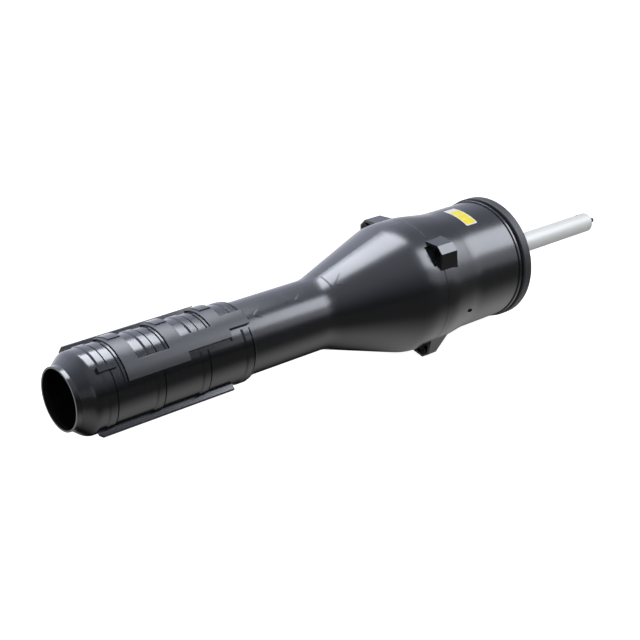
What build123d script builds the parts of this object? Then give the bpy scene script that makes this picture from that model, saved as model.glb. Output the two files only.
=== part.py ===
from build123d import *
import os
from math import atan2, cos, radians, sin, tan

# Blower attachment for a split-shaft garden power head, in millimetres.
# X runs back along the pipe, Z is up, and the origin is the centre of the pipe's rear end, so
# stations towards the nozzle are negative. Angles round the axis run from the top towards -Y.

# Clearances
running_fit = 0.05
push_fit = 0.05
slide_fit = 0.5
fan_tip_gap = 1.0
fan_end_gap = 3.0

# Pipe and drive shaft
pipe_d = 25.4
pipe_wall = 1.6
pipe_exposed = 196.5
pipe_socket = 35.5
pipe_socket_d = 25.0
pipe_shoulder_gap = 1.0
locating_hole_d = 7.0
locating_hole_inset = 16.0
locating_hole_angle = -20.0
shaft_d = 8.0
shaft_overhang = 15.5
shaft_end_d = 7.0
shaft_end_len = 20.0
shaft_flats = 5.8
shaft_collar_d = 11.0
shaft_collar_len = 4.0
shaft_edge = 0.7
bush_len = 30.0
bush_insets = (26.0, 130.0)

# Ball bearings, spacers and fan nut
bearing_od = 22.0
bearing_len = 7.0
bearing_inner_od = 11.6
bearing_gap = 7.0
spacer_wall = 1.5
circlip_t = 1.2
circlip_depth = 0.6
circlip_land = 1.8
circlip_gap = 6.0
hub_step_lip = 1.6
hub_step_len = 3.5
washer_d = 18.0
washer_t = 1.6
nut_flats = 13.0
nut_t = 6.5
shaft_past_nut = 3.0

# Fan housing
housing_r = 73.4
housing_wall = 3.0
housing_flare_rise = 6.0
housing_bead_h = 1.4
housing_spigot_step = 1.0
housing_groove_len = 4.0
housing_bead_len = 3.5
housing_straight_len = 69.5
housing_flare_len = 45.0
housing_land_len = 15.0
housing_flare_round = 110.0
housing_edge = 0.6
hub_r = 19.5
hub_edge = 2.0
strut_count = 4
strut_angle = 45.0
strut_t = 4.0
strut_setback = 8.0
strut_len = 28.0
drain_angle = 109.0
drain_turn = 25.0
drain_len = 11.0
drain_w = 4.4
drain_depth = 1.2
drain_from_seam = 45.5

# Inlet guard
guard_ring_h = 2.9
guard_ring_len = 12.5
guard_edge = 1.6
grille_t = 3.8
grille_rim_w = 8.4
grille_ring_radii = (33.5, 43.0, 52.5)
grille_bar = 2.6
grille_collar_r = 24.0
grille_pipe_gap = 0.4
spoke_count = 8
spoke_w = 3.0

# Seam lugs and screws
lug_angles = (-46.5, 46.5, 148.0, -148.0)
lug_ramps = (3.0, 3.0, 15.0, 15.0)
lug_rise = 11.6
lug_root = 4.0
lug_base_half = 21.5
lug_top_half = 5.9
lug_boss_len = 23.0
lug_hood_len = 4.8
lug_hood_floor = 1.8
lug_wall = 2.3
lug_edge = 0.8
scoop_len = 8.0
scoop_base_half = 15.0
scoop_root = 3.4
scoop_top_half = 4.2
scoop_round = 1.8
screw_hood_gap = 0.4
screw_d = 4.0
screw_len = 12.0
screw_head_d = 8.6
screw_head_t = 3.2
screw_cross_w = 1.1
guard_screw_d = 3.2
guard_screw_len = 18.0
guard_screw_head_d = 6.6
guard_screw_head_t = 2.0
guard_screw_angles = (0.0, 90.0, 180.0, 270.0)
guard_screw_inset = 3.2
guard_pillar_d = 8.0
guard_pillar_len = 30.0
pipe_screw_d = 4.0
pipe_screw_head_d = 7.6
pipe_screw_head_t = 2.6
pipe_screw_inset = 16.0
pipe_screw_angles = (0.0, 180.0)

# Fan
fan_blades = 8
fan_hub_r = 27.0
fan_hub_wall = 2.6
fan_hub_len = 29.0
fan_hub_round = 3.0
fan_web_t = 4.0
fan_boss_r = 9.5
fan_boss_len = 26.0
fan_root_chord = 27.0
fan_tip_chord = 36.0
fan_root_stagger = 30.0
fan_tip_stagger = 58.0
fan_root_camber = 4.2
fan_tip_camber = 2.4
fan_root_t = 3.2
fan_tip_t = 2.0

# Guide vanes and tail cone
stator_vanes = 7
stator_sleeve_wall = 4.0
stator_sleeve_len = 30.0
stator_flange_inset = 2.2
stator_flange_t = 3.0
stator_hub_wall = 2.4
stator_hub_lead = 16.0
stator_hub_tail = 4.0
stator_web_t = 3.0
vane_chord = 30.0
vane_stagger = -22.0
vane_camber = -3.0
vane_t = 2.8
tail_len = 74.0
tail_straight_len = 24.0
tail_nose_r = 7.0
tail_nose_round = 3.5
tail_wall = 2.2
tail_spigot_len = 9.0
tail_round = 60.0

# Front duct
duct_wall = 2.6
duct_land_len = 24.5
cone_len = 117.5
cone_shoulder_round = 70.0
cone_neck_round = 51.0
tube_r = 41.9
tube_len = 187.5
duct_edge = 0.6

# Nozzle
nozzle_step = 57.0
nozzle_steps = 2
nozzle_stop_gap = 2.5
nozzle_len = 216.5
nozzle_wall = 2.8
nozzle_rear_round = 1.0
nozzle_lead_in = 1.4
mouth_r = 34.5
mouth_wall = 2.0
mouth_lip_len = 5.5
mouth_taper_len = 13.5
mouth_lip_round = 2.5
mouth_shoulder_round = 12.0
bead_count = 4
bead_inset = 9.3
bead_pitch = 57.4
bead_w = 10.0
bead_h = 1.0
bead_slope = 2.4
bead_round = 0.6
bead_groove_w = 2.2
bead_groove_depth = 1.1
rib_angles = (-45.0, 135.0)
rib_h = 7.1
rib_t = 4.4
rib_round = 1.4
rib_rear_inset = 26.0
rib_front_inset = 193.0
rib_chamfer = 4.0

# Twist-lock track moulded on the nozzle
track_h = 2.6
track_edge = 0.7
track_arm_inset = 27.5
track_arm_w = 19.0
track_arm_end = -27.0
track_strip_top = 22.0
track_strip_low = 45.0
track_strip_turn = 11.0
step_gap_turn = 4.5
step_gap_depth = 1.6
track_ledge_w = 3.5
track_ledge_h = 1.2
track_ledge_end = -2.0
click_h = 1.0
click_low = 1.0
click_setback = 4.0
catch_angle = 42.0
catch_w = 6.0
catch_len = 21.0
catch_inset = 168.0
catch_h = 3.6

# Stations along the axis
guard_rear = -pipe_exposed
pipe_shoulder = guard_rear + pipe_shoulder_gap
guard_front = guard_rear - guard_ring_len
grille_front = guard_rear - grille_t
bead_rear = guard_front - housing_groove_len
bead_front = bead_rear - housing_bead_len
flare_rear = bead_front - housing_straight_len
flare_front = flare_rear - housing_flare_len
seam = flare_front - housing_land_len
pipe_front = grille_front - pipe_socket
pipe_screw_station = grille_front - pipe_screw_inset
hub_step = pipe_front - hub_step_len
bearing_rears = (hub_step, hub_step - bearing_len - bearing_gap)
circlip_rear = bearing_rears[1] - bearing_len
hub_front = circlip_rear - circlip_t - circlip_land
fan_rear = hub_front - fan_end_gap
fan_front = fan_rear - fan_hub_len
fan_boss_front = fan_rear - fan_boss_len
nut_rear = fan_boss_front - washer_t
nut_front = nut_rear - nut_t
shaft_front = nut_front - shaft_past_nut
fan_middle = fan_rear - fan_hub_len / 2
flange_rear = seam + stator_flange_t / 2
flange_front = seam - stator_flange_t / 2
sleeve_rear = flange_front + stator_sleeve_len
stator_hub_rear = sleeve_rear + stator_hub_lead
stator_hub_front = flange_front - stator_hub_tail
vane_middle = (sleeve_rear + flange_front) / 2
tail_front = stator_hub_front - tail_len
cone_rear = seam - duct_land_len
cone_front = cone_rear - cone_len
tube_front = cone_front - tube_len
nozzle_travel = nozzle_step * nozzle_steps
nozzle_rear = cone_front - nozzle_travel - nozzle_stop_gap
nozzle_front = nozzle_rear - nozzle_len

# Radii that follow from the sizes above
pipe_r = pipe_d / 2
pipe_bore_r = pipe_r - pipe_wall
hub_bore_r = pipe_socket_d / 2 + push_fit
shaft_r = shaft_d / 2
bearing_r = bearing_od / 2
housing_bore_r = housing_r - housing_wall
housing_bead_r = housing_r + housing_bead_h
housing_spigot_r = housing_r - housing_spigot_step
seam_r = housing_r + housing_flare_rise
guard_ring_r = housing_r + guard_ring_h
grille_rim_r = housing_bore_r - grille_rim_w
guard_screw_r = housing_bore_r - guard_screw_inset
stator_flange_r = seam_r - stator_flange_inset
sleeve_bore_r = housing_bore_r
sleeve_r = housing_bore_r + stator_sleeve_wall
fan_tip_r = housing_bore_r - fan_tip_gap
nozzle_bore_r = tube_r + slide_fit
nozzle_r = nozzle_bore_r + nozzle_wall
rib_r = nozzle_r + rib_h
track_r = nozzle_r + track_h
track_base_r = nozzle_r - nozzle_wall / 2
lug_base_r = seam_r - lug_root
lug_top_r = seam_r + lug_rise
scoop_base_r = seam_r - scoop_root
lug_screw_r = lug_top_r - lug_wall - screw_hood_gap - screw_head_d / 2
cone_angle = atan2(seam_r - tube_r, cone_len)
cone_bevel = duct_wall * tan(cone_angle / 2)

os.makedirs("parts", exist_ok=True)


def outward(angle):
    """Unit vector from the axis at an angle from the top towards -Y."""
    return Vector(0, -sin(radians(angle)), cos(radians(angle)))


def around(angle):
    """Unit vector along the circle, the way the angle grows."""
    return Vector(0, -cos(radians(angle)), -sin(radians(angle)))


def cross_plane(station, angle=0.0):
    """Plane across the axis: its x runs round the circle, its y outwards, its normal to the nozzle."""
    return Plane(origin=(station, 0, 0), x_dir=around(angle), z_dir=(-1, 0, 0))


def radial_plane(angle=0.0):
    """Plane through the axis: its x runs along the axis and its y outwards."""
    return Plane(origin=(0, 0, 0), x_dir=(1, 0, 0), z_dir=around(angle))


def skin_plane(station, radius, angle):
    """Plane that touches a cylinder about the axis, with its normal outwards."""
    place = Vector(station, 0, 0) + outward(angle) * radius
    return Plane(origin=place, x_dir=(1, 0, 0), z_dir=outward(angle))


def turn(*corners, mode=Mode.ADD):
    """Revolve a closed profile about the axis; a corner is (station, radius) or (station, radius, round)."""
    rounds = [corner[2] if len(corner) > 2 else 0 for corner in corners]
    with BuildSketch(radial_plane()) as section:
        with BuildLine():
            FilletPolyline(*[corner[:2] for corner in corners], radius=rounds, close=True)
        make_face()
    revolve(section.sketch, axis=Axis.X, mode=mode)


def sector(front, rear, inner_r, outer_r, start, end, edge, mode=Mode.ADD):
    """Part of a ring between two stations and two angles, with its outer long edges rounded."""
    corners = [(front, inner_r), (front, outer_r), (rear, outer_r), (rear, inner_r)]
    with BuildSketch(radial_plane(start)) as section:
        with BuildLine():
            FilletPolyline(*corners, radius=[0, edge, edge, 0], close=True)
        make_face()
    revolve(section.sketch, axis=Axis.X, revolution_arc=end - start, mode=mode)


def axial_rod(radius, rear, front, place_r=0.0, angle=0.0, mode=Mode.ADD):
    """Round bar or hole along the axis, between two stations."""
    with BuildSketch(cross_plane(rear, angle)) as section:
        with Locations((0, place_r)):
            Circle(radius)
    extrude(section.sketch, amount=rear - front, mode=mode)


def radial_rod(radius, inner_r, outer_r, station, angle, mode=Mode.ADD):
    """Round bar or hole that points away from the axis."""
    with BuildSketch(skin_plane(station, inner_r, angle)) as section:
        Circle(radius)
    extrude(section.sketch, amount=outer_r - inner_r, mode=mode)


def lug(station, angle, base_half, base_r, top_half, top_r, edge, length, mode=Mode.ADD):
    """Bar of trapezoid section along the axis; a positive length runs towards the nozzle."""
    corners = [(-base_half, base_r), (-top_half, top_r), (top_half, top_r), (base_half, base_r)]
    with BuildSketch(cross_plane(station, angle)) as section:
        with BuildLine():
            FilletPolyline(*corners, radius=[0, edge, edge, 0], close=True)
        make_face()
    extrude(section.sketch, amount=length, mode=mode)


def lug_boss(angle, ramp):
    """Screw boss of the housing's seam: a lug whose rear end slopes down to the shell."""
    rear = seam + lug_boss_len
    with BuildPart() as boss:
        lug(seam, angle, lug_base_half, lug_base_r, lug_top_half, lug_top_r, lug_edge, -lug_boss_len)
        with BuildSketch(radial_plane(angle)) as wedge:
            with BuildLine():
                Polyline((rear - ramp, lug_top_r), (rear, lug_base_r), (rear, lug_top_r), close=True)
            make_face()
        extrude(wedge.sketch, amount=lug_base_half, both=True, mode=Mode.SUBTRACT)
    return boss.part


def grip_rib(angle):
    """Long rib on the nozzle with rounded edges and a sloped front end."""
    rear = nozzle_rear - rib_rear_inset
    front = nozzle_rear - rib_front_inset
    with BuildPart() as rib:
        lug(rear, angle, rib_t / 2, track_base_r, rib_t / 2, rib_r, rib_round, rear - front)
        with BuildSketch(radial_plane(angle)) as wedge:
            with BuildLine():
                Polyline(
                    (front, rib_r - rib_chamfer), (front, rib_r), (front + rib_chamfer, rib_r), close=True
                )
            make_face()
        extrude(wedge.sketch, amount=rib_t, both=True, mode=Mode.SUBTRACT)
    return rib.part


def track_arm_rear(number):
    """Station of the rear side of one of the track's arms."""
    return nozzle_rear - track_arm_inset - nozzle_step * number


def track_arm_low(number):
    """Angle of the lower end of one of the track's arms."""
    return track_strip_low + track_strip_turn * min(number + 1, nozzle_steps)


def track_strip_rear(number):
    """Station where a length of the track's strip starts: the nozzle's end or the arm behind it."""
    return nozzle_rear if number == 0 else track_arm_rear(number - 1)


def blade_section(station, radius, stagger, chord, camber, thickness):
    """Cambered blade section, pointed at both edges, on a plane that touches a cylinder at the top."""
    chord_dir = (cos(radians(stagger)), -sin(radians(stagger)), 0)
    with BuildSketch(Plane(origin=(station, 0, radius), x_dir=chord_dir, z_dir=(0, 0, 1))) as section:
        with BuildLine():
            ThreePointArc((chord / 2, 0), (0, camber + thickness / 2), (-chord / 2, 0))
            ThreePointArc((-chord / 2, 0), (0, camber - thickness / 2), (chord / 2, 0))
        make_face()
    return section.sketch


def write(piece, name):
    """Label a finished piece and save it as a file of its own."""
    piece.part.label = name
    export_step(piece.part, f"parts/{name}.step")


# Aluminium pipe, turned down for the guard and hub, with the hole for the power head's spring pin
with BuildPart() as main_pipe:
    turn(
        (0, pipe_bore_r), (0, pipe_r), (pipe_shoulder, pipe_r), (pipe_shoulder, pipe_socket_d / 2),
        (pipe_front, pipe_socket_d / 2), (pipe_front, pipe_bore_r),
    )
    radial_rod(
        locating_hole_d / 2, 0, pipe_d, -locating_hole_inset, locating_hole_angle, mode=Mode.SUBTRACT
    )
    for angle in pipe_screw_angles:
        radial_rod(pipe_screw_d / 2 + push_fit, 0, pipe_d, pipe_screw_station, angle, mode=Mode.SUBTRACT)
write(main_pipe, "main_pipe")

# Steel drive shaft, with a squared end for the coupling and a collar behind the rear bearing
collar_rear = hub_step + shaft_collar_len
with BuildPart() as drive_shaft:
    turn(
        (shaft_overhang, 0), (shaft_overhang, shaft_end_d / 2, shaft_edge),
        (shaft_overhang - shaft_end_len, shaft_end_d / 2), (shaft_overhang - shaft_end_len, shaft_r),
        (collar_rear, shaft_r), (collar_rear, shaft_collar_d / 2),
        (hub_step, shaft_collar_d / 2), (hub_step, shaft_r),
        (shaft_front, shaft_r, shaft_edge), (shaft_front, 0),
    )
    with BuildSketch(cross_plane(shaft_overhang)):
        Circle(shaft_d)
        Rectangle(shaft_flats, shaft_flats, mode=Mode.SUBTRACT)
    extrude(amount=shaft_end_len, mode=Mode.SUBTRACT)
write(drive_shaft, "drive_shaft")

# Plastic bushes that carry the shaft inside the pipe
with BuildPart() as shaft_bushes:
    for inset in bush_insets:
        turn(
            (-inset, shaft_r + running_fit), (-inset, pipe_bore_r - push_fit),
            (-inset - bush_len, pipe_bore_r - push_fit), (-inset - bush_len, shaft_r + running_fit),
        )
write(shaft_bushes, "shaft_bushes")

# Fan housing: flared shell, hub on struts for the pipe and bearings, pillars for the guard, lug bosses
with BuildPart() as fan_housing:
    turn(
        (seam, seam_r, housing_edge), (flare_front, seam_r, housing_flare_round),
        (flare_rear, housing_r, housing_flare_round), (bead_front, housing_r),
        (bead_front, housing_bead_r, housing_edge), (bead_rear, housing_bead_r, housing_edge),
        (bead_rear, housing_spigot_r), (grille_front, housing_spigot_r),
        (grille_front, housing_bore_r), (sleeve_rear, housing_bore_r),
        (sleeve_rear, sleeve_r + push_fit), (seam, sleeve_r + push_fit),
    )
    for angle, ramp in zip(lug_angles, lug_ramps):
        add(lug_boss(angle, ramp))
    turn(
        (seam, 0), (seam, stator_flange_r + push_fit), (flange_rear, stator_flange_r + push_fit),
        (flange_rear, 0), mode=Mode.SUBTRACT,
    )
    turn(
        (grille_front, hub_bore_r), (grille_front, hub_r), (hub_front, hub_r, hub_edge),
        (hub_front, bearing_r + push_fit), (circlip_rear - circlip_t, bearing_r + push_fit),
        (circlip_rear - circlip_t, bearing_r + circlip_depth), (circlip_rear, bearing_r + circlip_depth),
        (circlip_rear, bearing_r + push_fit), (hub_step, bearing_r + push_fit),
        (hub_step, bearing_r - hub_step_lip), (pipe_front, bearing_r - hub_step_lip),
        (pipe_front, hub_bore_r),
    )
    for number in range(strut_count):
        with BuildSketch(cross_plane(grille_front - strut_setback, strut_angle + 360 * number / strut_count)):
            with Locations((0, (hub_r + housing_bore_r) / 2)):
                Rectangle(strut_t, housing_bore_r - hub_r + strut_t / 2)
        extrude(amount=strut_len)
    for angle in guard_screw_angles:
        axial_rod(guard_pillar_d / 2, grille_front, grille_front - guard_pillar_len, guard_screw_r, angle)
    for angle in guard_screw_angles:
        axial_rod(
            guard_screw_d / 2 + push_fit, grille_front, guard_rear - guard_screw_len,
            guard_screw_r, angle, mode=Mode.SUBTRACT,
        )
    for angle in lug_angles:
        axial_rod(screw_d / 2 + push_fit, seam + screw_len, seam, lug_screw_r, angle, mode=Mode.SUBTRACT)
    for angle in pipe_screw_angles:
        radial_rod(pipe_screw_d / 2 + push_fit, 0, pipe_d, pipe_screw_station, angle, mode=Mode.SUBTRACT)
    with BuildSketch(skin_plane(seam + drain_from_seam, housing_r - drain_depth, drain_angle)):
        SlotOverall(drain_len, drain_w, rotation=-drain_turn)
    extrude(amount=seam_r - housing_r, mode=Mode.SUBTRACT)
write(fan_housing, "fan_housing")

# Inlet guard: rim that slips over the housing's spigot, with a grille of rings and spokes
with BuildPart() as inlet_guard:
    turn(
        (guard_front, housing_spigot_r + push_fit), (guard_front, guard_ring_r, guard_edge),
        (guard_rear, guard_ring_r, guard_edge), (guard_rear, grille_rim_r),
        (grille_front, grille_rim_r), (grille_front, housing_spigot_r + push_fit),
    )
    for radius in grille_ring_radii:
        turn(
            (grille_front, radius - grille_bar / 2), (grille_front, radius + grille_bar / 2),
            (guard_rear, radius + grille_bar / 2), (guard_rear, radius - grille_bar / 2),
        )
    turn(
        (grille_front, pipe_socket_d / 2 + grille_pipe_gap), (grille_front, grille_collar_r),
        (guard_rear, grille_collar_r), (guard_rear, pipe_socket_d / 2 + grille_pipe_gap),
    )
    for number in range(spoke_count):
        with BuildSketch(cross_plane(guard_rear, 360 * (number + 0.5) / spoke_count)):
            with Locations((0, (grille_collar_r + grille_rim_r) / 2)):
                Rectangle(spoke_w, grille_rim_r - grille_collar_r + spoke_w)
        extrude(amount=grille_t)
    for angle in guard_screw_angles:
        axial_rod(
            guard_screw_d / 2 + push_fit, guard_rear, grille_front, guard_screw_r, angle,
            mode=Mode.SUBTRACT,
        )
write(inlet_guard, "inlet_guard")

# Screws that hold the guard on its pillars
with BuildPart() as guard_screws:
    for angle in guard_screw_angles:
        axial_rod(
            guard_screw_head_d / 2, guard_rear + guard_screw_head_t, guard_rear, guard_screw_r, angle
        )
        axial_rod(guard_screw_d / 2, guard_rear, guard_rear - guard_screw_len, guard_screw_r, angle)
write(guard_screws, "guard_screws")

# Screws that pin the pipe in the hub
with BuildPart() as pipe_screws:
    for angle in pipe_screw_angles:
        radial_rod(pipe_screw_d / 2, pipe_bore_r, hub_r, pipe_screw_station, angle)
        radial_rod(pipe_screw_head_d / 2, hub_r, hub_r + pipe_screw_head_t, pipe_screw_station, angle)
write(pipe_screws, "pipe_screws")

# Two sealed ball bearings in the hub, each an outer ring with its shields and an inner ring
for place, rear in zip(("rear", "front"), bearing_rears):
    front = rear - bearing_len
    with BuildPart() as bearing_outer:
        turn(
            (rear, bearing_inner_od / 2 + running_fit), (rear, bearing_r),
            (front, bearing_r), (front, bearing_inner_od / 2 + running_fit),
        )
    write(bearing_outer, f"{place}_bearing_outer_ring")
    with BuildPart() as bearing_inner:
        turn((rear, shaft_r), (rear, bearing_inner_od / 2), (front, bearing_inner_od / 2), (front, shaft_r))
    write(bearing_inner, f"{place}_bearing_inner_ring")

# Sleeves that keep the bearings apart, one round the shaft and one in the hub
spacer_rear = bearing_rears[0] - bearing_len
with BuildPart() as inner_spacer:
    turn(
        (spacer_rear, shaft_r), (spacer_rear, shaft_r + spacer_wall),
        (bearing_rears[1], shaft_r + spacer_wall), (bearing_rears[1], shaft_r),
    )
write(inner_spacer, "inner_bearing_spacer")

with BuildPart() as outer_spacer:
    turn(
        (spacer_rear, bearing_r - spacer_wall), (spacer_rear, bearing_r),
        (bearing_rears[1], bearing_r), (bearing_rears[1], bearing_r - spacer_wall),
    )
write(outer_spacer, "outer_bearing_spacer")

# Circlip that keeps the bearings in the hub, open at the top
circlip_front = circlip_rear - circlip_t
with BuildPart() as bearing_circlip:
    turn(
        (circlip_rear, bearing_r - hub_step_lip), (circlip_rear, bearing_r + circlip_depth),
        (circlip_front, bearing_r + circlip_depth), (circlip_front, bearing_r - hub_step_lip),
    )
    with BuildSketch(cross_plane(circlip_rear)):
        with Locations((0, bearing_r)):
            Rectangle(circlip_gap, bearing_r)
    extrude(amount=circlip_t, mode=Mode.SUBTRACT)
write(bearing_circlip, "bearing_circlip")

# Sleeve between the front bearing and the fan
with BuildPart() as fan_spacer:
    turn(
        (circlip_rear, shaft_r), (circlip_rear, shaft_r + spacer_wall),
        (fan_rear, shaft_r + spacer_wall), (fan_rear, shaft_r),
    )
write(fan_spacer, "fan_spacer")

# One fan blade at the top, twisted from root to tip and trimmed to the fan's circle
with BuildPart() as fan_blade:
    fan_root_r = fan_hub_r - fan_hub_wall / 2
    fan_root = blade_section(
        fan_middle, fan_root_r, fan_root_stagger, fan_root_chord, fan_root_camber, fan_root_t
    )
    fan_tip = blade_section(
        fan_middle, housing_r, fan_tip_stagger, fan_tip_chord, fan_tip_camber, fan_tip_t
    )
    loft([fan_root, fan_tip])
    turn((fan_rear, 0), (fan_rear, fan_tip_r), (fan_front, fan_tip_r), (fan_front, 0), mode=Mode.INTERSECT)

# Axial fan: cup-shaped hub with a centre boss and the ring of blades
with BuildPart() as fan:
    turn(
        (fan_rear, shaft_r), (fan_rear, fan_hub_r, fan_hub_round), (fan_front, fan_hub_r),
        (fan_front, fan_hub_r - fan_hub_wall),
        (fan_rear - fan_web_t, fan_hub_r - fan_hub_wall, fan_hub_round),
        (fan_rear - fan_web_t, fan_boss_r), (fan_boss_front, fan_boss_r), (fan_boss_front, shaft_r),
    )
    for number in range(fan_blades):
        add(fan_blade.part.rotate(Axis.X, 360 * number / fan_blades))
write(fan, "fan")

# Washer and nut that hold the fan on the shaft
with BuildPart() as fan_washer:
    turn(
        (fan_boss_front, shaft_r), (fan_boss_front, washer_d / 2),
        (nut_rear, washer_d / 2), (nut_rear, shaft_r),
    )
write(fan_washer, "fan_washer")

with BuildPart() as fan_nut:
    with BuildSketch(cross_plane(nut_rear)):
        RegularPolygon(nut_flats / 2, 6, major_radius=False)
        Circle(shaft_r, mode=Mode.SUBTRACT)
    extrude(amount=nut_t)
write(fan_nut, "fan_nut")

# One guide vane at the top, trimmed inside the wall of its sleeve
with BuildPart() as guide_vane:
    vane_root_r = fan_hub_r - stator_hub_wall / 2
    vane_root = blade_section(vane_middle, vane_root_r, vane_stagger, vane_chord, vane_camber, vane_t)
    vane_tip = blade_section(vane_middle, seam_r, vane_stagger, vane_chord, vane_camber, vane_t)
    loft([vane_root, vane_tip])
    vane_end_r = sleeve_bore_r + stator_sleeve_wall / 2
    turn(
        (sleeve_rear, 0), (sleeve_rear, vane_end_r), (flange_front, vane_end_r), (flange_front, 0),
        mode=Mode.INTERSECT,
    )

# Guide vanes: flanged sleeve clamped at the seam, hub and the ring of vanes that take out the swirl
with BuildPart() as guide_vanes:
    turn(
        (sleeve_rear, sleeve_bore_r), (sleeve_rear, sleeve_r), (flange_rear, sleeve_r),
        (flange_rear, stator_flange_r), (flange_front, stator_flange_r), (flange_front, sleeve_bore_r),
    )
    turn(
        (stator_hub_rear, fan_hub_r - stator_hub_wall), (stator_hub_rear, fan_hub_r),
        (stator_hub_front, fan_hub_r), (stator_hub_front, fan_hub_r - stator_hub_wall),
    )
    turn(
        (vane_middle, 0), (vane_middle, fan_hub_r - stator_hub_wall / 2),
        (vane_middle - stator_web_t, fan_hub_r - stator_hub_wall / 2), (vane_middle - stator_web_t, 0),
    )
    for number in range(stator_vanes):
        add(guide_vane.part.rotate(Axis.X, 360 * number / stator_vanes))
write(guide_vanes, "guide_vanes")

# Tail cone that closes the vanes' hub and lets the air run together behind it
tail_spigot_r = fan_hub_r - stator_hub_wall - push_fit
tail_bend = stator_hub_front - tail_straight_len
with BuildPart() as tail_cone:
    turn(
        (stator_hub_front + tail_spigot_len, tail_spigot_r), (stator_hub_front, tail_spigot_r),
        (stator_hub_front, fan_hub_r), (tail_bend, fan_hub_r, tail_round),
        (tail_front, tail_nose_r, tail_nose_round), (tail_front, 0),
        (tail_front + tail_wall, 0), (tail_front + tail_wall, tail_nose_r - tail_wall),
        (tail_bend, fan_hub_r - tail_wall, tail_round), (stator_hub_front - tail_wall, fan_hub_r - tail_wall),
        (stator_hub_front - tail_wall, tail_spigot_r - tail_wall),
        (stator_hub_front + tail_spigot_len, tail_spigot_r - tail_wall),
    )
write(tail_cone, "tail_cone")

# Space inside the front duct, less the pads that back each screw scoop
with BuildPart() as duct_core:
    turn(
        (seam, 0), (seam, seam_r - duct_wall),
        (cone_rear + cone_bevel, seam_r - duct_wall, cone_shoulder_round - duct_wall),
        (cone_front + cone_bevel, tube_r - duct_wall, cone_neck_round + duct_wall),
        (tube_front, tube_r - duct_wall), (tube_front, 0),
    )
    for angle in lug_angles:
        lug(
            seam, angle, scoop_base_half + duct_wall, scoop_base_r - duct_wall, scoop_top_half, lug_top_r, 0,
            lug_hood_len + scoop_len + duct_wall, mode=Mode.SUBTRACT,
        )

# Front duct: cone and tube in one moulding, with a hooded lug over each screw
with BuildPart() as front_duct:
    turn(
        (seam, 0), (seam, seam_r, duct_edge), (cone_rear, seam_r, cone_shoulder_round),
        (cone_front, tube_r, cone_neck_round), (tube_front, tube_r, duct_edge), (tube_front, 0),
    )
    for angle in lug_angles:
        lug(seam, angle, lug_base_half, lug_base_r, lug_top_half, lug_top_r, lug_edge, lug_hood_len)
    add(duct_core.part, mode=Mode.SUBTRACT)
    turn(
        (seam, 0), (seam, stator_flange_r + push_fit), (flange_front, stator_flange_r + push_fit),
        (flange_front, 0), mode=Mode.SUBTRACT,
    )
    for angle in lug_angles:
        lug(
            seam - lug_hood_floor, angle, scoop_base_half, scoop_base_r, scoop_top_half, lug_top_r - lug_wall,
            scoop_round, lug_hood_len - lug_hood_floor + scoop_len, mode=Mode.SUBTRACT,
        )
        axial_rod(screw_d / 2 + push_fit, seam, seam - lug_hood_floor, lug_screw_r, angle, mode=Mode.SUBTRACT)
write(front_duct, "front_duct")

# Screws that close the seam, with a cross in each head
screw_seat = seam - lug_hood_floor
with BuildPart() as seam_screws:
    for angle in lug_angles:
        axial_rod(screw_d / 2, seam + screw_len, screw_seat, lug_screw_r, angle)
        axial_rod(screw_head_d / 2, screw_seat, screw_seat - screw_head_t, lug_screw_r, angle)
    for angle in lug_angles:
        with BuildSketch(cross_plane(screw_seat - screw_head_t, angle)):
            with Locations((0, lug_screw_r)):
                Rectangle(screw_head_d / 2, screw_cross_w)
                Rectangle(screw_cross_w, screw_head_d / 2)
        extrude(amount=-screw_head_t / 2, mode=Mode.SUBTRACT)
write(seam_screws, "seam_screws")

# Twist-lock track: a strip that steps down round the nozzle, with one arm for each length
with BuildPart() as track:
    for number in range(nozzle_steps + 1):
        arm_rear = track_arm_rear(number)
        sector(
            arm_rear, track_strip_rear(number), track_base_r, track_r,
            track_strip_top + track_strip_turn * number, track_strip_low + track_strip_turn * number, 0,
        )
        sector(
            arm_rear - track_arm_w, arm_rear, track_base_r, track_r,
            track_arm_end, track_arm_low(number), 0,
        )
    outer_face = track.faces().filter_by(GeomType.CYLINDER).sort_by(SortBy.RADIUS)[-1]
    fillet(outer_face.edges(), track_edge)

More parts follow.
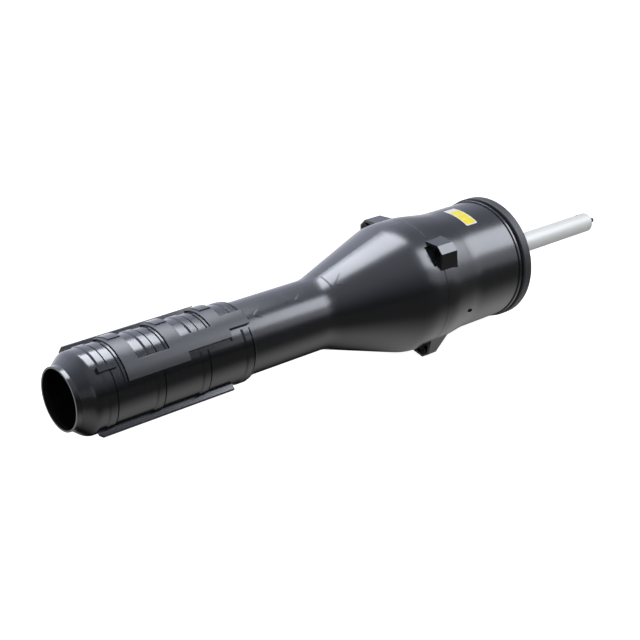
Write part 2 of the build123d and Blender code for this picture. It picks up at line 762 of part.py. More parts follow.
# Nozzle: sliding sleeve with a narrowed mouth, beads, two grip ribs and the twist-lock track
mouth_rear = nozzle_front + mouth_lip_len
shoulder = mouth_rear + mouth_taper_len
with BuildPart() as nozzle:
    turn(
        (nozzle_rear, nozzle_bore_r + nozzle_lead_in), (nozzle_rear, nozzle_r, nozzle_rear_round),
        (shoulder, nozzle_r, mouth_shoulder_round), (mouth_rear, mouth_r, mouth_lip_round),
        (nozzle_front, mouth_r), (nozzle_front, mouth_r - mouth_wall),
        (mouth_rear, mouth_r - mouth_wall), (shoulder + nozzle_wall / 2, nozzle_bore_r, mouth_shoulder_round),
        (nozzle_rear - nozzle_lead_in, nozzle_bore_r),
    )
    for number in range(bead_count):
        front = nozzle_rear - bead_inset - bead_pitch * number - bead_w / 2
        rear = front + bead_w
        turn(
            (front, nozzle_r - nozzle_wall / 2), (front, nozzle_r),
            (front + bead_slope, nozzle_r + bead_h, bead_round), (rear, nozzle_r + bead_h),
            (rear, nozzle_r - nozzle_wall / 2),
        )
        turn(
            (rear, nozzle_r - bead_groove_depth), (rear, rib_r), (rear + bead_groove_w, rib_r),
            (rear + bead_groove_w, nozzle_r - bead_groove_depth), mode=Mode.SUBTRACT,
        )
    for angle in rib_angles:
        add(grip_rib(angle))
    for number in range(nozzle_steps):
        strip_low = track_strip_low + track_strip_turn * number
        sector(
            track_arm_rear(number), track_strip_rear(number), nozzle_r - step_gap_depth, rib_r,
            strip_low, strip_low + step_gap_turn, 0, mode=Mode.SUBTRACT,
        )
    add(track.part)
    for number in range(nozzle_steps + 1):
        arm_rear = track_arm_rear(number)
        arm_front = arm_rear - track_arm_w
        sector(
            arm_front + click_setback, arm_rear, nozzle_r, track_r + click_h,
            track_arm_end, click_low, track_edge,
        )
        sector(
            arm_front - track_ledge_w, arm_front, nozzle_r - nozzle_wall / 2, nozzle_r + track_ledge_h,
            track_ledge_end, track_arm_low(number), track_edge,
        )
    catch_rear = nozzle_rear - catch_inset
    with BuildSketch(skin_plane(catch_rear - catch_len / 2, nozzle_r - nozzle_wall / 2, catch_angle)):
        Rectangle(catch_len, catch_w)
    extrude(amount=catch_h + nozzle_wall / 2)
write(nozzle, "nozzle")
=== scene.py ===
# %% [markdown]
# # A blower attachment for a split-shaft power head
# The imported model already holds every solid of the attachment: the pipe, the fan housing, the cone
# and the sliding nozzle. This lesson dresses it: each solid gets a finish made of nodes, the moulded
# marks and the label are added as thin surfaces worked out with numpy, and a small studio is built
# round it. Everything is in metres, X runs back along the pipe and the axis of the object is the X axis.

# %% Load the frame and note its size
import bpy
import numpy as np
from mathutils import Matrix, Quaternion, Vector


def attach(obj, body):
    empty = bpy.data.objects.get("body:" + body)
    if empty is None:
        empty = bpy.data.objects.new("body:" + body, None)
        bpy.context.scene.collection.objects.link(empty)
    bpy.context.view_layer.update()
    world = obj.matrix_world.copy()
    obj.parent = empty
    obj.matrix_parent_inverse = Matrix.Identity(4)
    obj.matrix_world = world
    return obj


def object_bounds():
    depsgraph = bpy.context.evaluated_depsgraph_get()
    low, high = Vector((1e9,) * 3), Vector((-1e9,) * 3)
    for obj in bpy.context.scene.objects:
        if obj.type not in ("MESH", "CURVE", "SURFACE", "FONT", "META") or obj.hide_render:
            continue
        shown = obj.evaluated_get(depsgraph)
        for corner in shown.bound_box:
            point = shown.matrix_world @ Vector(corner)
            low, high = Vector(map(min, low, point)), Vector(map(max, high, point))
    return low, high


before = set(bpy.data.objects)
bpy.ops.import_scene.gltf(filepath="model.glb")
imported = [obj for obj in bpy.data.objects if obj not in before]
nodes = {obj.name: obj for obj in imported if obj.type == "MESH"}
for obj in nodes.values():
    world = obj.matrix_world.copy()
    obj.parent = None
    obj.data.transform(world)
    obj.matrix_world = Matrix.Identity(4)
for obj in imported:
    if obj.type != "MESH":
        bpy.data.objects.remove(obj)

MM = 0.001
cad_box = [list(corner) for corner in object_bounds()]
print("nodes:", len(nodes), "CAD box:", [[round(v, 4) for v in corner] for corner in cad_box])

# %% [markdown]
# ## Tools for finishes
# Colours are written as the sRGB hex values that a paint chart would give. Blender calculates in
# linear light, so one function converts them. A second function adds a node, sets it up and wires it
# in a single call, so that each finish is a chain of such calls that reads from top to bottom. A pattern's
# scale is always worked out from a size in millimetres: noise of scale s has features about 1 / s metres
# across.

# %% Colour conversion and one way to add a node
# Sockets of a Mix node that is set to colours: the share, the two colours and the result.
MIX_SHARE = 0
MIX_A = 6
MIX_B = 7
MIX_RESULT = 2


def colour(hex_value):
    """Linear RGBA of an sRGB hex string: c / 12.92 below 0.04045, else ((c + 0.055) / 1.055) ^ 2.4."""
    srgb = np.array([int(hex_value[i:i + 2], 16) for i in (1, 3, 5)]) / 255
    linear = np.where(srgb <= 0.04045, srgb / 12.92, ((srgb + 0.055) / 1.055) ** 2.4)
    return (*(float(v) for v in linear), 1.0)


def add_node(tree, kind, inputs=None, **settings):
    """Add a node, set its properties, and fill its inputs: an output socket is linked, a value is set."""
    made = tree.nodes.new(kind)
    for name, value in settings.items():
        setattr(made, name, value)
    for key, value in (inputs or {}).items():
        if isinstance(value, bpy.types.NodeSocket):
            tree.links.new(value, made.inputs[key])
        else:
            made.inputs[key].default_value = value
    return made


def new_finish(name):
    """An empty node material: returns the material, its tree, and the piece's own coordinates."""
    finish = bpy.data.materials.new(name)
    finish.use_nodes = True
    finish.node_tree.nodes.clear()
    place = add_node(finish.node_tree, "ShaderNodeTexCoord").outputs["Object"]
    return finish, finish.node_tree, place


print("half grey in linear light:", [round(v, 4) for v in colour("#808080")])

# %% [markdown]
# ## Moulded plastics
# The cone, tube, housing and nozzle are black ABS from polished moulds. What the eye gets is a near
# black body under a clear gloss: long soft reflections that waver a little, because a large moulding is
# never quite flat, and a fine grain. Large, weak noise moves the roughness, and two sizes of noise drive
# the bump. The real grain is finer than a pixel of the picture, so it is drawn coarse enough to show. The
# track on the nozzle stands out of the gloss because its top is etched in the mould, while its rounded
# edges are polished and catch the light. The roughness therefore depends on the distance from the axis.

# %% Black ABS for the housing and the duct
WAVE_MM = 40
WAVE_DEPTH = 0.05
ABS_IOR = 1.54
SKIN_GRAIN_MM = 1.2
SKIN_GRAIN_DEPTH = 0.006

black_abs, tree, place = new_finish("black_abs_polished_mould")
wave = add_node(tree, "ShaderNodeTexNoise", {
    "Vector": place, "Scale": 1 / (WAVE_MM * MM),
}).outputs["Fac"]
grain = add_node(tree, "ShaderNodeTexNoise", {
    "Vector": place, "Scale": 1 / (SKIN_GRAIN_MM * MM), "Detail": 3.0,
}).outputs["Fac"]
tone = add_node(tree, "ShaderNodeMix", {
    MIX_SHARE: grain, MIX_A: colour("#101113"), MIX_B: colour("#151618"),
}, data_type="RGBA").outputs[MIX_RESULT]
gloss = add_node(tree, "ShaderNodeMapRange", {"Value": wave, "To Min": 0.22, "To Max": 0.29}).outputs[0]
waved = add_node(tree, "ShaderNodeBump", {"Height": wave, "Distance": WAVE_DEPTH * MM}).outputs[0]
grained = add_node(tree, "ShaderNodeBump", {
    "Height": grain, "Distance": SKIN_GRAIN_DEPTH * MM, "Normal": waved,
}).outputs[0]
shader = add_node(tree, "ShaderNodeBsdfPrincipled", {
    "Base Color": tone, "Roughness": gloss, "IOR": ABS_IOR, "Normal": grained,
})
add_node(tree, "ShaderNodeOutputMaterial", {"Surface": shader.outputs[0]})
print("made", black_abs.name)

# %% Black ABS for the nozzle, etched on the raised track
ETCH_START_R = 47.6
ETCH_FULL_R = 47.78
CLICK_FROM_R = 48.1
ETCH_GRAIN_MM = 1.0
ETCH_GRAIN_DEPTH = 0.012

nozzle_abs, tree, place = new_finish("black_abs_etched_track")
wave = add_node(tree, "ShaderNodeTexNoise", {
    "Vector": place, "Scale": 1 / (WAVE_MM * MM),
}).outputs["Fac"]
grain = add_node(tree, "ShaderNodeTexNoise", {
    "Vector": place, "Scale": 1 / (ETCH_GRAIN_MM * MM), "Detail": 3.0,
}).outputs["Fac"]
across = add_node(tree, "ShaderNodeVectorMath", {0: place, 1: (0, 1, 1)}, operation="MULTIPLY").outputs[0]
radius = add_node(tree, "ShaderNodeVectorMath", {0: across}, operation="LENGTH").outputs["Value"]
near_top = add_node(tree, "ShaderNodeMapRange", {
    "Value": radius, "From Min": ETCH_START_R * MM, "From Max": ETCH_FULL_R * MM,
}).outputs[0]
below_clicks = add_node(
    tree, "ShaderNodeMath", {0: radius, 1: CLICK_FROM_R * MM}, operation="LESS_THAN",
).outputs[0]
raised = add_node(tree, "ShaderNodeMath", {0: near_top, 1: below_clicks}, operation="MULTIPLY").outputs[0]
tone = add_node(tree, "ShaderNodeMix", {
    MIX_SHARE: raised, MIX_A: colour("#101113"), MIX_B: colour("#18191b"),
}, data_type="RGBA").outputs[MIX_RESULT]
gloss = add_node(tree, "ShaderNodeMapRange", {"Value": wave, "To Min": 0.16, "To Max": 0.23}).outputs[0]
etched = add_node(tree, "ShaderNodeMapRange", {"Value": grain, "To Min": 0.36, "To Max": 0.46}).outputs[0]
roughness = add_node(tree, "ShaderNodeMix", {"Factor": raised, "A": gloss, "B": etched}).outputs[0]
waved = add_node(tree, "ShaderNodeBump", {"Height": wave, "Distance": WAVE_DEPTH * MM}).outputs[0]
grained = add_node(tree, "ShaderNodeBump", {
    "Height": grain, "Distance": ETCH_GRAIN_DEPTH * MM, "Normal": waved,
}).outputs[0]
shader = add_node(tree, "ShaderNodeBsdfPrincipled", {
    "Base Color": tone, "Roughness": roughness, "IOR": ABS_IOR, "Normal": grained,
})
add_node(tree, "ShaderNodeOutputMaterial", {"Surface": shader.outputs[0]})
print("made", nozzle_abs.name)

# %% [markdown]
# ## The guard's grained plastic and the fan's nylon
# The inlet guard is polypropylene from a spark-eroded mould, so its skin is a field of tiny pits that
# scatter the light: greyer and duller than the housing. The fan and its guide vanes are nylon filled
# with glass fibre, where short pale fibres swim just under a matt skin. Real pits and fibres are a tenth of
# a millimetre or less, too fine to show, so both are drawn coarser.

# %% Spark-eroded polypropylene
PIT_MM = 0.9
PIT_DEPTH = 0.06
PATCH_MM = 6

guard_pp, tree, place = new_finish("black_polypropylene_spark_eroded")
pits = add_node(tree, "ShaderNodeTexVoronoi", {
    "Vector": place, "Scale": 1 / (PIT_MM * MM),
}, feature="F1").outputs["Distance"]
patch = add_node(tree, "ShaderNodeTexNoise", {
    "Vector": place, "Scale": 1 / (PATCH_MM * MM),
}).outputs["Fac"]
tone = add_node(tree, "ShaderNodeMix", {
    MIX_SHARE: pits, MIX_A: colour("#2b2c2f"), MIX_B: colour("#1b1c1e"),
}, data_type="RGBA").outputs[MIX_RESULT]
matt = add_node(tree, "ShaderNodeMapRange", {"Value": patch, "To Min": 0.5, "To Max": 0.6}).outputs[0]
pitted = add_node(tree, "ShaderNodeBump", {"Height": pits, "Distance": PIT_DEPTH * MM}).outputs[0]
shader = add_node(tree, "ShaderNodeBsdfPrincipled", {
    "Base Color": tone, "Roughness": matt, "IOR": 1.49, "Normal": pitted,
})
add_node(tree, "ShaderNodeOutputMaterial", {"Surface": shader.outputs[0]})
print("made", guard_pp.name)

# %% Glass-filled nylon
NYLON_IOR = 1.53
FIBRE_MM = 0.8
FIBRE_STRETCH = 4
FIBRE_DEPTH = 0.02
SWIRL_MM = 9

fan_nylon, tree, place = new_finish("black_nylon_glass_filled")
drawn_out = add_node(tree, "ShaderNodeMapping", {"Vector": place, "Scale": (1 / FIBRE_STRETCH, 1, 1)})
fibres = add_node(tree, "ShaderNodeTexNoise", {
    "Vector": drawn_out.outputs[0], "Scale": 1 / (FIBRE_MM * MM), "Detail": 4.0,
}).outputs["Fac"]
swirl = add_node(tree, "ShaderNodeTexNoise", {
    "Vector": place, "Scale": 1 / (SWIRL_MM * MM),
}).outputs["Fac"]
tone = add_node(tree, "ShaderNodeMix", {
    MIX_SHARE: fibres, MIX_A: colour("#131416"), MIX_B: colour("#27282b"),
}, data_type="RGBA").outputs[MIX_RESULT]
matt = add_node(tree, "ShaderNodeMapRange", {"Value": swirl, "To Min": 0.45, "To Max": 0.6}).outputs[0]
rough_skin = add_node(tree, "ShaderNodeBump", {"Height": fibres, "Distance": FIBRE_DEPTH * MM}).outputs[0]
shader = add_node(tree, "ShaderNodeBsdfPrincipled", {
    "Base Color": tone, "Roughness": matt, "IOR": NYLON_IOR, "Normal": rough_skin,
})
add_node(tree, "ShaderNodeOutputMaterial", {"Surface": shader.outputs[0]})
print("made", fan_nylon.name)

# %% [markdown]
# ## Metals and turned nylon
# The pipe is drawn aluminium with a satin anodised skin. Drawing leaves hair lines along it, so the noise
# is stretched along X. The anodised skin scatters most of the light, so it is only a little metallic and
# shades from pale to dark like paint. The shaft is phosphated steel, almost black. The seam's screws are
# black oxide, the other fasteners zinc plated, and the bearing rings ground and bright. The shaft's bushes
# are natural nylon, and turning leaves rings on them as it does on steel, so they come from the same
# function. Real tool marks are finer than these lines, which are drawn coarse enough to show.

# %% Drawn aluminium, the steels and the bushes
ROUGH_SPREAD = 0.05


def worked_finish(name, dark, light, rough, line_mm, stretch, depth_mm, detail=3.0, **sockets):
    """A drawn, turned or plated skin: noise stretched along the tool's path sets the colour, the roughness
    (the middle value plus or minus the spread) and the bump. Other sockets of the shader are set as given."""
    finish, tree, place = new_finish(name)
    drawn_out = add_node(tree, "ShaderNodeMapping", {"Vector": place, "Scale": [1 / s for s in stretch]})
    lines = add_node(tree, "ShaderNodeTexNoise", {
        "Vector": drawn_out.outputs[0], "Scale": 1 / (line_mm * MM), "Detail": detail,
    }).outputs["Fac"]
    tone = add_node(tree, "ShaderNodeMix", {
        MIX_SHARE: lines, MIX_A: colour(dark), MIX_B: colour(light),
    }, data_type="RGBA").outputs[MIX_RESULT]
    roughness = add_node(tree, "ShaderNodeMapRange", {
        "Value": lines, "To Min": rough - ROUGH_SPREAD, "To Max": rough + ROUGH_SPREAD,
    }).outputs[0]
    scored = add_node(tree, "ShaderNodeBump", {"Height": lines, "Distance": depth_mm * MM}).outputs[0]
    shader = add_node(tree, "ShaderNodeBsdfPrincipled", {
        "Base Color": tone, "Roughness": roughness, "Normal": scored, **sockets,
    })
    add_node(tree, "ShaderNodeOutputMaterial", {"Surface": shader.outputs[0]})
    return finish


pipe_alu = worked_finish(
    "aluminium_drawn_satin_anodised", "#d3d5d4", "#dddfde",
    rough=0.55, line_mm=0.8, stretch=(60, 1, 1), depth_mm=0.004, Metallic=0.1,
)
shaft_steel = worked_finish(
    "steel_phosphated", "#3c3d40", "#505154",
    rough=0.42, line_mm=0.6, stretch=(1, 8, 8), depth_mm=0.004, Metallic=1.0,
)
turned_steel = worked_finish(
    "steel_turned", "#8d9094", "#a6a9ad",
    rough=0.3, line_mm=0.4, stretch=(1, 30, 30), depth_mm=0.004, Metallic=1.0,
)
bearing_steel = worked_finish(
    "bearing_steel_ground", "#b4b7bb", "#c6c9cd",
    rough=0.18, line_mm=0.3, stretch=(1, 30, 30), depth_mm=0.002, Metallic=1.0,
)
blued_steel = worked_finish(
    "spring_steel_blued", "#2b2f38", "#3a3f4a",
    rough=0.3, line_mm=0.5, stretch=(1, 4, 4), depth_mm=0.003, Metallic=1.0,
)
oxide_steel = worked_finish(
    "steel_black_oxide", "#232427", "#303135",
    rough=0.36, line_mm=0.8, stretch=(1, 1, 1), depth_mm=0.004, Metallic=1.0,
)
zinc_steel = worked_finish(
    "steel_zinc_plated", "#a9adb0", "#bdc1c4",
    rough=0.3, line_mm=1.5, stretch=(1, 1, 1), depth_mm=0.004, Metallic=1.0,
)
bush_nylon = worked_finish(
    "natural_nylon_turned", "#d9d3c3", "#e6e1d3",
    rough=0.45, line_mm=0.7, stretch=(1, 40, 40), depth_mm=0.01, detail=2.0, IOR=NYLON_IOR,
)
print("made metals:", pipe_alu.name, shaft_steel.name, zinc_steel.name, "and", bush_nylon.name)

# %% [markdown]
# ## Dress the solids
# Every solid of the frame keeps its shape and only changes its skin, so one table from finish to nodes
# is enough.

# %% Give each node its finish
dressing = {
    black_abs: ["fan_housing", "front_duct"],
    nozzle_abs: ["nozzle"],
    guard_pp: ["inlet_guard"],
    fan_nylon: ["fan", "guide_vanes", "tail_cone"],
    bush_nylon: ["shaft_bushes"],
    pipe_alu: ["main_pipe"],
    shaft_steel: ["drive_shaft"],
    turned_steel: ["inner_bearing_spacer", "outer_bearing_spacer", "fan_spacer"],
    bearing_steel: [
        "rear_bearing_outer_ring", "rear_bearing_inner_ring",
        "front_bearing_outer_ring", "front_bearing_inner_ring",
    ],
    blued_steel: ["bearing_circlip"],
    oxide_steel: ["seam_screws"],
    zinc_steel: ["guard_screws", "pipe_screws", "fan_washer", "fan_nut"],
}
for finish, names in dressing.items():
    for name in names:
        mesh = nodes[name].data
        mesh.materials.clear()
        mesh.materials.append(finish)
print("dressed", sum(len(names) for names in dressing.values()), "of", len(nodes), "nodes")

# %% [markdown]
# ## Marks moulded on the tube
# Three open arrowheads and two short arcs on the tube show how far the nozzle may slide. On the real
# tube they are hair-thin raised lines that only show because their flanks catch the light. A decal would
# stay flat, so each line is a low ridge: a lens-shaped profile carried along a path that lies on the
# tube. The nozzle has to run over the ridges, so they stay lower than its clearance on the tube.

# %% The tube's outline and a ridge along any path on it
TUBE_R = 41.9
SEAM_R = 79.4
NECK = -488.0
SHOULDER = -370.5
NECK_ROUND = 51.0
RING_POINTS = 12
END_LEAST = 1e-4
CONE_SLOPE = (SEAM_R - TUBE_R) / (SHOULDER - NECK)
NECK_REACH = NECK_ROUND * np.tan(np.arctan(CONE_SLOPE) / 2)


def duct_radius(x):
    """Outer radius of the duct in mm: a cylinder, then a round neck of radius R that rises as
    R - sqrt(R^2 - d^2) over the distance d from its start, then a straight cone."""
    start = NECK - NECK_REACH
    rise = np.clip(x - start, 0, NECK_ROUND * np.sin(np.arctan(CONE_SLOPE)))
    neck = TUBE_R + NECK_ROUND - np.sqrt(NECK_ROUND ** 2 - rise ** 2)
    cone = TUBE_R + (x - NECK) * CONE_SLOPE
    return np.where(x < NECK + NECK_REACH * np.cos(np.arctan(CONE_SLOPE)), neck, cone)


def on_axis_frame(x, radius, angle):
    """Points in metres from a station, a radius and an angle from the top towards -Y."""
    turn = np.radians(angle)
    return np.stack([x, -radius * np.sin(turn), radius * np.cos(turn)], axis=-1) * MM


def grid_mesh(name, points, finish):
    """A mesh from a (u, v, 3) grid that is closed round v. Each end is filled with quads from side to
    side: point v is joined to point n - 1 - v across the ring of n points."""
    count_u, count_v, _ = points.shape
    index = np.arange(count_u * count_v).reshape(count_u, count_v)
    beside = np.roll(index, -1, axis=1)
    faces = np.stack([index[:-1], beside[:-1], beside[1:], index[1:]], axis=-1).reshape(-1, 4)
    half = count_v // 2
    near, far = index[:, :half], index[:, :half - 1:-1]
    ends = np.stack([near[:, :-1], far[:, :-1], far[:, 1:], near[:, 1:]], axis=-1)
    faces = np.concatenate([faces, ends[0], ends[-1, :, ::-1]])
    mesh = bpy.data.meshes.new(name)
    mesh.from_pydata(points.reshape(-1, 3).tolist(), [], faces.tolist())
    mesh.materials.append(finish)
    mesh.shade_smooth()
    piece = bpy.data.objects.new(name, mesh)
    bpy.context.scene.collection.objects.link(piece)
    return piece


def ridge(name, x, angle, width, height, finish):
    """Raised line over the path (x, angle) on the duct. At each point the profile is an ellipse with
    half axes width / 2 along the skin and height off it; both shrink almost to nothing at the path's
    ends as sqrt(1 - (2u - 1)^6)."""
    radius = duct_radius(x)
    path = np.stack([x, radius * np.radians(angle)], axis=-1)
    way = np.gradient(path, axis=0)
    way /= np.linalg.norm(way, axis=1, keepdims=True)
    aside = np.stack([-way[:, 1], way[:, 0]], axis=-1)
    u = np.linspace(0, 1, len(x))
    fade = np.sqrt(np.clip(1 - (2 * u - 1) ** 6, END_LEAST, 1))[:, None]
    v = np.linspace(0, 2 * np.pi, RING_POINTS, endpoint=False)[None, :]
    offset = fade * np.cos(v) * width / 2
    lift = fade * np.sin(v) * height
    px = x[:, None] + aside[:, 0:1] * offset
    around = angle[:, None] + np.degrees(aside[:, 1:2] * offset / radius[:, None])
    return grid_mesh(name, on_axis_frame(px, duct_radius(px) + lift, around), finish)


print("duct radius at the neck:", round(float(duct_radius(np.array(NECK))), 2), "mm")

# %% Three arrowheads and two arcs
MARK_W = 1.5
ARC_W = 1.3
MARK_H = 0.42
ARROW_TIPS = [(-591.9, 34.0), (-531.5, 31.0), (-474.0, 29.0)]
ARROW_UP = (13.0, -11.0)
ARROW_DOWN = (10.0, 7.5)
ARC_LINES = [(-541.5, 8.0, 32.0), (-479.0, 4.0, 32.0)]
ARROW_POINTS = 25
ARC_POINTS = 40

marks = []
steps = np.linspace(0, 1, ARROW_POINTS)
for number, (tip_x, tip_angle) in enumerate(ARROW_TIPS, 1):
    for side, (run, swing) in (("upper", ARROW_UP), ("lower", ARROW_DOWN)):
        line = ridge(f"slide_arrow_{number}_{side}", tip_x + run * steps, tip_angle + swing * steps,
                     MARK_W, MARK_H, black_abs)
        marks.append(line)
for number, (station, start, end) in enumerate(ARC_LINES, 1):
    turn = np.linspace(start, end, ARC_POINTS)
    stations = np.full(ARC_POINTS, station)
    line = ridge(f"slide_stop_line_{number}", stations, turn, ARC_W, MARK_H, black_abs)
    marks.append(line)
for mark in marks:
    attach(mark, "blower_body")
print("marks:", [mark.name for mark in marks])

# %% [markdown]
# ## The label
# A small vinyl label sits on top of the housing: white, with three plain yellow fields. It is a thin
# slab bent round the housing. Rows run round the housing, side by side along its axis, and the rows get
# shorter towards the two edges, which rounds the corners. A UV map in millimetres tells the finish where
# the fields are.

# %% Vinyl with three yellow fields
LABEL_LEN = 42.0
LABEL_WIDTH = 18.5
FIELD_LEN = 9.8
FIELD_GAP = 0.7
FIELD_WIDTH = 15.5
FIELD_START = 1.6
FIELD_COUNT = 3
VINYL_GRAIN_MM = 2.0
VINYL_DEPTH = 0.004

vinyl, tree, place = new_finish("white_vinyl_yellow_fields")
spot = add_node(tree, "ShaderNodeUVMap", uv_map="label_mm").outputs[0]
parts = add_node(tree, "ShaderNodeSeparateXYZ", {0: spot}).outputs
pitch = FIELD_LEN + FIELD_GAP
run = add_node(tree, "ShaderNodeMath", {0: parts["X"], 1: FIELD_START}, operation="SUBTRACT").outputs[0]
phase = add_node(tree, "ShaderNodeMath", {0: run, 1: pitch}, operation="FLOORED_MODULO").outputs[0]
off_middle = add_node(tree, "ShaderNodeMath", {0: parts["Y"]}, operation="ABSOLUTE").outputs[0]
field_tests = [
    (phase, "LESS_THAN", FIELD_LEN),
    (run, "GREATER_THAN", 0.0),
    (run, "LESS_THAN", FIELD_COUNT * pitch),
    (off_middle, "LESS_THAN", FIELD_WIDTH / 2),
]
yellow = 1.0
for value, test, limit in field_tests:
    passed = add_node(tree, "ShaderNodeMath", {0: value, 1: limit}, operation=test).outputs[0]
    yellow = add_node(tree, "ShaderNodeMath", {0: yellow, 1: passed}, operation="MULTIPLY").outputs[0]
grain = add_node(tree, "ShaderNodeTexNoise", {
    "Vector": place, "Scale": 1 / (VINYL_GRAIN_MM * MM),
}).outputs["Fac"]
tone = add_node(tree, "ShaderNodeMix", {
    MIX_SHARE: yellow, MIX_A: colour("#e9e9e6"), MIX_B: colour("#f6e41e"),
}, data_type="RGBA").outputs[MIX_RESULT]
satin = add_node(tree, "ShaderNodeMapRange", {"Value": grain, "To Min": 0.32, "To Max": 0.4}).outputs[0]
grained = add_node(tree, "ShaderNodeBump", {"Height": grain, "Distance": VINYL_DEPTH * MM}).outputs[0]
shader = add_node(tree, "ShaderNodeBsdfPrincipled", {
    "Base Color": tone, "Roughness": satin, "IOR": 1.5, "Normal": grained,
})
add_node(tree, "ShaderNodeOutputMaterial", {"Surface": shader.outputs[0]})
print("made", vinyl.name)

# %% The label bent round the housing
HOUSING_R = 73.4
LABEL_X = -261.5
LABEL_ANGLE = 10.2
LABEL_T = 0.14
LABEL_SINK = 0.05
LABEL_CORNER = 1.6
LABEL_ROWS = 31
ROW_POINTS = 61


def row_reach(wide, half_len, half_wide, corner):
    """Half length of the row at a distance from the middle line of a rectangle with round corners:
    half_len - corner + sqrt(corner^2 - d^2), where d is how far the row lies inside the corner zone."""
    depth = np.clip(np.abs(wide) - (half_wide - corner), 0, corner)
    return half_len - corner + np.sqrt(corner ** 2 - depth ** 2)


rows = LABEL_WIDTH / 2 * np.sin(np.linspace(-np.pi / 2, np.pi / 2, LABEL_ROWS))
reach = row_reach(rows, LABEL_LEN / 2, LABEL_WIDTH / 2, LABEL_CORNER)
share = np.linspace(-1, 1, ROW_POINTS)
there_and_back = np.concatenate([share, share[::-1]])
along = reach[:, None] * there_and_back[None, :]
wide = rows[:, None] + 0 * along
lift = np.repeat([LABEL_T, -LABEL_SINK], len(share))[None, :]
label_angle = LABEL_ANGLE + np.degrees(along / HOUSING_R)
label_points = on_axis_frame(LABEL_X + wide, HOUSING_R + lift + 0 * wide, label_angle)
label = grid_mesh("plain_label", label_points, vinyl)
uv = label.data.uv_layers.new(name="label_mm")
corner_of = np.empty(len(label.data.loops), dtype=np.int32)
label.data.loops.foreach_get("vertex_index", corner_of)
flat = np.stack([LABEL_LEN / 2 - along.ravel(), wide.ravel()], axis=-1)
uv.data.foreach_set("uv", flat[corner_of].astype(np.float32).ravel())
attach(label, "blower_body")
print("label:", len(label.data.polygons), "faces,", LABEL_LEN, "x", LABEL_WIDTH, "mm")

# %% [markdown]
# ## Studio
# Black gloss shows its form through what it mirrors, so the studio is laid out by its reflections. A soft
# box overhead makes the bright patch on the cone, one at the side the long streak on tube and housing, and
# a dim card under it lets that streak fade out slowly. A weak card near the camera shows the faces that
# look that way. The far wall is bright and the side of the camera dark, which gives pale upper edges and a
# deep black flank. The floor is white to the camera; what the gloss mirrors of it is a glow painted into the
# floor: a painted shadow under the object, bright beside it, and a painted falloff to dark towards the
# camera. A separate pair of lamps gives the diffuse light, which brings out the pale pipe and the label.

# %% Floor
FLOOR_HALF = 8.0
FLOOR_GAP = 0.0002

floor_z = cad_box[0][2] - FLOOR_GAP
corners = [(x * FLOOR_HALF, y * FLOOR_HALF, floor_z) for x, y in ((-1, -1), (1, -1), (1, 1), (-1, 1))]
floor_mesh = bpy.data.meshes.new("sweep")
floor_mesh.from_pydata(corners, [], [(0, 1, 2, 3)])
floor = bpy.data.objects.new("sweep", floor_mesh)
bpy.context.scene.collection.objects.link(floor)
print("floor at z =", round(floor_z, 4))

# %% White paper for the floor, with painted light and painted shadow in what the gloss mirrors of it
FLOOR_GLOW = 0.97
# The glow that glossy rays see on the floor is a painted pool of light: a painted shadow under the object and
# a painted falloff towards the camera.
PAINTED_FLOOR_REFLECTION = 1.3
PAINTED_FALLOFF_LEAST = 0.1
PAINTED_SHADOW_HALF = (0.0, 0.089)
PAINTED_FALLOFF_FRONT = (-0.205, -0.02)

paper, tree, place = new_finish("white_paper_painted_light_sweep")
rays = add_node(tree, "ShaderNodeLightPath").outputs
side = add_node(tree, "ShaderNodeSeparateXYZ", {0: place}).outputs["Y"]
off_axis = add_node(tree, "ShaderNodeMath", {0: side}, operation="ABSOLUTE").outputs[0]
# Painted shadow: the mirrored glow is dark in a band under the object, within the half width, and full beside
# it.
beside = add_node(tree, "ShaderNodeMapRange", {
    "Value": off_axis, "From Min": PAINTED_SHADOW_HALF[0], "From Max": PAINTED_SHADOW_HALF[1],
}, interpolation_type="SMOOTHSTEP").outputs[0]
# Painted falloff: the mirrored glow fades to a small share towards the camera.
painted_falloff = add_node(tree, "ShaderNodeMapRange", {
    "Value": side, "From Min": PAINTED_FALLOFF_FRONT[0], "From Max": PAINTED_FALLOFF_FRONT[1], "To Min": PAINTED_FALLOFF_LEAST,
}, interpolation_type="SMOOTHSTEP").outputs[0]
# Only glossy rays see this painted light and shadow; to them the floor's matt part is black.
mirrored = PAINTED_FLOOR_REFLECTION
for share in (beside, painted_falloff, rays["Is Glossy Ray"]):
    mirrored = add_node(tree, "ShaderNodeMath", {0: mirrored, 1: share}, operation="MULTIPLY").outputs[0]
straight = add_node(
    tree, "ShaderNodeMath", {0: rays["Is Camera Ray"], 1: rays["Is Transmission Ray"]}, operation="ADD",
).outputs[0]
strength = add_node(
    tree, "ShaderNodeMath", {0: straight, 1: FLOOR_GLOW, 2: mirrored}, operation="MULTIPLY_ADD",
).outputs[0]
glow = add_node(tree, "ShaderNodeEmission", {"Color": colour("#ffffff"), "Strength": strength})
matt_colour = add_node(tree, "ShaderNodeMix", {
    MIX_SHARE: rays["Is Glossy Ray"], MIX_A: colour("#c8c8c8"), MIX_B: colour("#000000"),
}, data_type="RGBA").outputs[MIX_RESULT]
matt = add_node(tree, "ShaderNodeBsdfDiffuse", {"Color": matt_colour})
both = add_node(tree, "ShaderNodeAddShader", {0: glow.outputs[0], 1: matt.outputs[0]})
add_node(tree, "ShaderNodeOutputMaterial", {"Surface": both.outputs[0]})
floor_mesh.materials.append(paper)
print("made", paper.name)

# %% Surroundings
SKY_FILL = 0.3
DARK_SIDE = 0.01
OVERHEAD = 1.1
FAR_WALL = 1.7
FAR_WAY = (-0.208, 0.978, 0.0)
FAR_SPREAD = (0.06, 1.0)
COOL_SKY = "#e2e9ff"

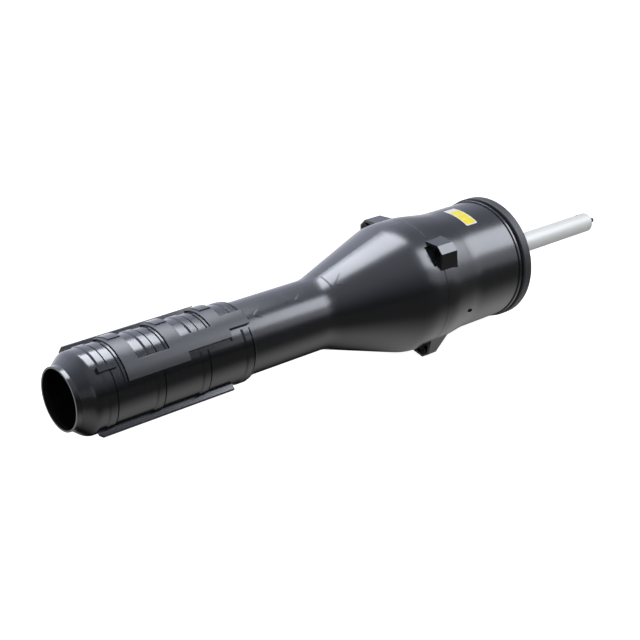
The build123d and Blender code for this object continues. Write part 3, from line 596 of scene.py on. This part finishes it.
world = bpy.data.worlds.new("studio")
bpy.context.scene.world = world
world.use_nodes = True
tree = world.node_tree
tree.nodes.clear()
rays = add_node(tree, "ShaderNodeLightPath").outputs
way = add_node(tree, "ShaderNodeTexCoord").outputs["Generated"]
height = add_node(tree, "ShaderNodeSeparateXYZ", {0: way}).outputs["Z"]
facing = add_node(
    tree, "ShaderNodeVectorMath", {0: way, 1: FAR_WAY}, operation="DOT_PRODUCT",
).outputs["Value"]
overhead = add_node(tree, "ShaderNodeMapRange", {
    "Value": height, "To Min": DARK_SIDE, "To Max": OVERHEAD,
}, interpolation_type="SMOOTHSTEP").outputs[0]
far_wall = add_node(tree, "ShaderNodeMapRange", {
    "Value": facing, "From Min": FAR_SPREAD[0], "From Max": FAR_SPREAD[1], "To Max": FAR_WALL,
}, interpolation_type="SMOOTHSTEP").outputs[0]
mirrored = add_node(tree, "ShaderNodeMath", {0: overhead, 1: far_wall}, operation="ADD").outputs[0]
lighting = add_node(tree, "ShaderNodeMix", {
    "Factor": rays["Is Diffuse Ray"], "A": mirrored, "B": SKY_FILL,
}).outputs[0]
level = add_node(tree, "ShaderNodeMix", {
    "Factor": rays["Is Camera Ray"], "A": lighting, "B": 1.0,
}).outputs[0]
tint = add_node(tree, "ShaderNodeMix", {
    MIX_SHARE: rays["Is Glossy Ray"], MIX_A: colour("#ffffff"), MIX_B: colour(COOL_SKY),
}, data_type="RGBA").outputs[MIX_RESULT]
sky = add_node(tree, "ShaderNodeBackground", {"Color": tint, "Strength": level})
add_node(tree, "ShaderNodeOutputWorld", {"Surface": sky.outputs[0]})
print("surroundings:", world.name)

# %% Soft boxes for the reflections and lamps for the diffuse light
COOL_BOX = "#f0f5ff"
MIDDLE = (-0.45, 0.0, 0.03)


def lamp(name, place, target, size, radiance, glossy, diffuse, roll=0.0):
    """Rectangular soft box aimed at a point and rolled by degrees about that line. Its power is
    pi * area * radiance, as of an even panel."""
    light = bpy.data.lights.new(name, "AREA")
    light.shape = "RECTANGLE"
    light.size, light.size_y = size
    light.energy = np.pi * size[0] * size[1] * radiance
    light.color = colour(COOL_BOX if glossy else "#ffffff")[:3]
    box = bpy.data.objects.new(name, light)
    box.location = place
    aim = (Vector(target) - Vector(place)).to_track_quat("-Z", "Y")
    box.rotation_euler = (aim @ Quaternion((0, 0, 1), np.radians(roll))).to_euler()
    box.visible_glossy = glossy
    box.visible_diffuse = diffuse
    bpy.context.scene.collection.objects.link(box)
    return box


lamp(
    "top_soft_box", place=(-0.18, 0.45, 1.17), target=(-0.18, 0.45, 0.0), size=(0.5, 0.95),
    radiance=13.0, glossy=True, diffuse=False,
)
lamp(
    "side_soft_box", place=(0.37, -0.52, 0.75), target=MIDDLE, size=(0.76, 0.58),
    radiance=9.0, glossy=True, diffuse=False, roll=-48.0,
)
lamp(
    "bounce_card", place=(0.456, -0.818, 0.391), target=MIDDLE, size=(0.88, 0.51),
    radiance=1.6, glossy=True, diffuse=False, roll=-37.0,
)
lamp(
    "camera_card", place=(-1.55, -1.0, 0.32), target=(-0.7, 0.0, 0.0), size=(0.7, 0.5),
    radiance=0.7, glossy=True, diffuse=False,
)
lamp(
    "top_fill", place=(-0.6, -0.5, 1.6), target=(-0.4, 0.0, 0.0), size=(1.6, 1.2),
    radiance=3.0, glossy=False, diffuse=True,
)
lamp(
    "front_fill", place=(-1.4, -1.4, 0.9), target=(-0.4, 0.0, 0.0), size=(1.0, 0.8),
    radiance=1.3, glossy=False, diffuse=True,
)

# %% [markdown]
# ## Camera
# The view was recovered from the outlines of the pipe, the guard, the seam and the mouth: a long lens,
# high on the left of the nozzle, with no roll.

# %% Camera at the photograph's angle
CAMERA_PLACE = (-1.4117, -1.0817, 0.6068)
CAMERA_WAY = (0.6004, 0.6945, -0.3964)
LENS_MM = 75.94
SENSOR_MM = 36.0
CLIP_START = 0.05

view = bpy.data.cameras.new("studio_camera")
view.lens = LENS_MM
view.sensor_width = SENSOR_MM
view.clip_start = CLIP_START
camera = bpy.data.objects.new("studio_camera", view)
camera.location = CAMERA_PLACE
camera.rotation_euler = Vector(CAMERA_WAY).to_track_quat("-Z", "Y").to_euler()
bpy.context.scene.collection.objects.link(camera)
bpy.context.scene.camera = camera
bpy.context.scene.view_settings.view_transform = "Standard"
print("camera at", CAMERA_PLACE)
